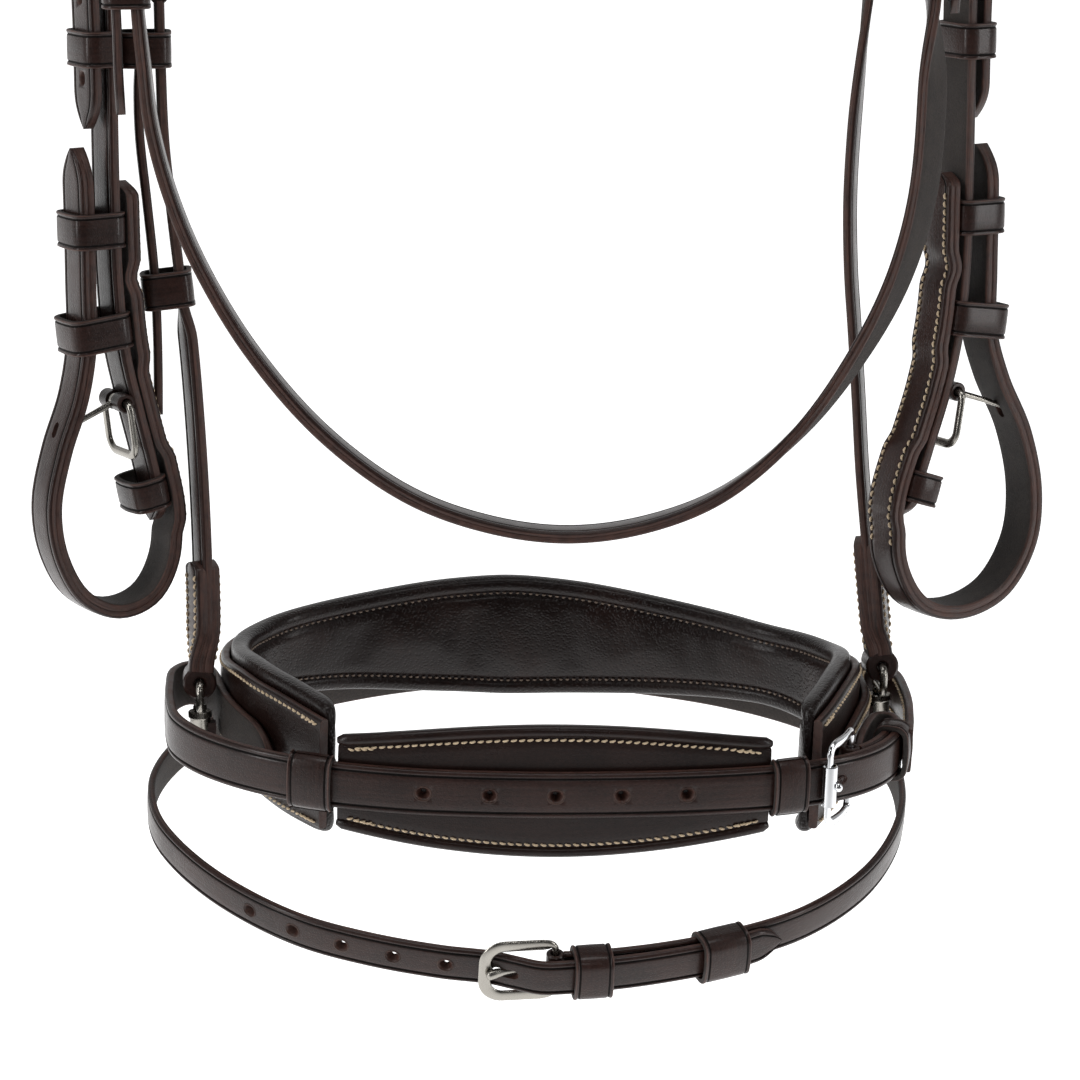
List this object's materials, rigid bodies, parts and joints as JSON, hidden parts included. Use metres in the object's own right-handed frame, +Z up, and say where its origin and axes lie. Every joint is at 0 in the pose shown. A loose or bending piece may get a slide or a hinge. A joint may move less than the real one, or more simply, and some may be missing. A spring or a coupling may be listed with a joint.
{
  "type": "bitless bridle",
  "caption": "English bridle with no bit: headpiece, browband, cheekpieces ending in loops, throatlatch, padded crank noseband and flash strap.",
  "frame": {"origin": "middle of the flat patch on the underside of the poll pad, where the bridle rests on the head", "axes": "+Z up the horse's head, +Y towards the brow and nose, -Y towards the throat and chin, +X to the viewer's right when the chin side is seen"},
  "size_m": [0.3515, 0.1916, 0.5376],
  "materials": {
    "strap_leather": "dark espresso brown bridle leather with a soft sheen",
    "pad_leather": "soft padded dark brown leather",
    "satin_steel": "satin stainless steel",
    "chrome": "bright polished"
  },
  "bodies": {
    "headstall": {"bail_left": "satin_steel", "bail_right": "satin_steel", "billet_keeper_lower_left": "strap_leather", "billet_keeper_lower_right": "strap_leather", "billet_keeper_upper_left": "strap_leather", "billet_keeper_upper_right": "strap_leather", "bit_loop_strap_left": "strap_leather", "bit_loop_strap_right": "strap_leather", "browband": "strap_leather", "cheek_lower_buckle_left_frame": "satin_steel", "cheek_lower_buckle_right_frame": "satin_steel", "cheek_strap_left": "strap_leather", "cheek_strap_right": "strap_leather", "cheek_upper_buckle_left_frame": "satin_steel", "cheek_upper_buckle_right_frame": "satin_steel", "cheek_upper_keeper_left": "strap_leather", "cheek_upper_keeper_right": "strap_leather", "empty_keeper_left": "strap_leather", "empty_keeper_right": "strap_leather", "hanger_buckle_frame": "satin_steel", "hanger_keeper": "strap_leather", "hanger_left": "strap_leather", "headpiece": "strap_leather", "poll_pad": "pad_leather", "sliphead": "strap_leather", "throat_buckle_left_frame": "satin_steel", "throat_buckle_right_frame": "satin_steel", "throat_keeper_left": "strap_leather", "throat_keeper_right": "strap_leather", "throatlatch": "strap_leather"},
    "noseband": {"chin_facing": "strap_leather", "chin_pad": "pad_leather", "crank_buckle_frame": "chrome", "crank_chape": "strap_leather", "crank_end_tab": "strap_leather", "crank_keeper_left": "strap_leather", "crank_keeper_right": "strap_leather", "crank_strap": "strap_leather", "flash_loop": "strap_leather", "nose_pad": "pad_leather", "noseband_leather": "strap_leather", "swivel_barrel_left": "satin_steel", "swivel_barrel_right": "satin_steel"},
    "flash": {"flash_buckle_frame": "satin_steel", "flash_keeper": "strap_leather", "flash_strap": "strap_leather"},
    "cheek_lower_buckle_left_tongue": {"cheek_lower_buckle_left_tongue": "satin_steel"},
    "cheek_lower_buckle_right_tongue": {"cheek_lower_buckle_right_tongue": "satin_steel"},
    "cheek_upper_buckle_left_tongue": {"cheek_upper_buckle_left_tongue": "satin_steel"},
    "cheek_upper_buckle_right_tongue": {"cheek_upper_buckle_right_tongue": "satin_steel"},
    "crank_buckle_tongue": {"crank_buckle_tongue": "chrome"},
    "crank_roller": {"crank_roller": "chrome"},
    "flash_buckle_tongue": {"flash_buckle_tongue": "satin_steel"},
    "flash_runner": {"flash_runner": "strap_leather"},
    "hanger_buckle_tongue": {"hanger_buckle_tongue": "satin_steel"},
    "hanger_runner": {"hanger_runner": "strap_leather"},
    "throat_buckle_left_tongue": {"throat_buckle_left_tongue": "satin_steel"},
    "throat_buckle_right_tongue": {"throat_buckle_right_tongue": "satin_steel"}
  },
  "joints": [
    {"name": "noseband_tilt", "type": "hinge", "parent": "headstall", "child": "noseband", "pos_m": [-0.1148, 0.004, -0.437], "axis": [0.9999, 0.0168, 0], "range_deg": [-6, 6]},
    {"name": "flash_swing", "type": "hinge", "parent": "noseband", "child": "flash", "pos_m": [0, 0.0948, -0.4468], "axis": [1, 0, 0], "range_deg": [-8, 0]},
    {"name": "cheek_lower_buckle_left_pivot", "type": "hinge", "parent": "headstall", "child": "cheek_lower_buckle_left_tongue", "pos_m": [-0.14128, 0.0002, -0.32692], "axis": [-0.4226, 0.9063, 0], "range_deg": [-8, 2.5]},
    {"name": "cheek_lower_buckle_right_pivot", "type": "hinge", "parent": "headstall", "child": "cheek_lower_buckle_right_tongue", "pos_m": [0.14311, -0.00065, -0.327], "axis": [0.4226, -0.9063, 0], "range_deg": [-8, 2.5]},
    {"name": "cheek_upper_buckle_left_pivot", "type": "hinge", "parent": "headstall", "child": "cheek_upper_buckle_left_tongue", "pos_m": [-0.14342, -0.0008, -0.168], "axis": [0.4226, -0.9063, 0], "range_deg": [0, 25]},
    {"name": "cheek_upper_buckle_right_pivot", "type": "hinge", "parent": "headstall", "child": "cheek_upper_buckle_right_tongue", "pos_m": [0.14622, 0.0008, -0.168], "axis": [-0.4226, 0.9063, 0], "range_deg": [0, 25]},
    {"name": "crank_buckle_pivot", "type": "hinge", "parent": "noseband", "child": "crank_buckle_tongue", "pos_m": [0.10393, -0.04938, -0.4485], "axis": [0.0198, -0.1289, 0.9915], "range_deg": [0, 25]},
    {"name": "flash_buckle_pivot", "type": "hinge", "parent": "flash", "child": "flash_buckle_tongue", "pos_m": [0.001, -0.0784, -0.50746], "axis": [0.0189, -0.3303, 0.9437], "range_deg": [0, 25]},
    {"name": "hanger_buckle_pivot", "type": "hinge", "parent": "headstall", "child": "hanger_buckle_tongue", "pos_m": [-0.1245, 0.008, -0.19], "axis": [0, -1, 0], "range_deg": [0, 25]},
    {"name": "throat_buckle_left_pivot", "type": "hinge", "parent": "headstall", "child": "throat_buckle_left_tongue", "pos_m": [-0.132, -0.034, -0.166], "axis": [0, -1, 0], "range_deg": [0, 25]},
    {"name": "throat_buckle_right_pivot", "type": "hinge", "parent": "headstall", "child": "throat_buckle_right_tongue", "pos_m": [0.1305, -0.034, -0.166], "axis": [0, 1, 0], "range_deg": [0, 25]},
    {"name": "crank_roller_spin", "type": "hinge", "parent": "noseband", "child": "crank_roller", "pos_m": [0.09488, -0.06477, -0.45032], "axis": [0.0198, -0.1289, 0.9915], "continuous": true},
    {"name": "hanger_runner_slide", "type": "slide", "parent": "headstall", "child": "hanger_runner", "axis": [0.1069, -0.0233, -0.994], "range_m": [-0.003, 0.003]},
    {"name": "flash_runner_slide", "type": "slide", "parent": "flash", "child": "flash_runner", "axis": [0.9407, 0.3255, 0.0951], "range_m": [-0.003, 0.003]}
  ]
}
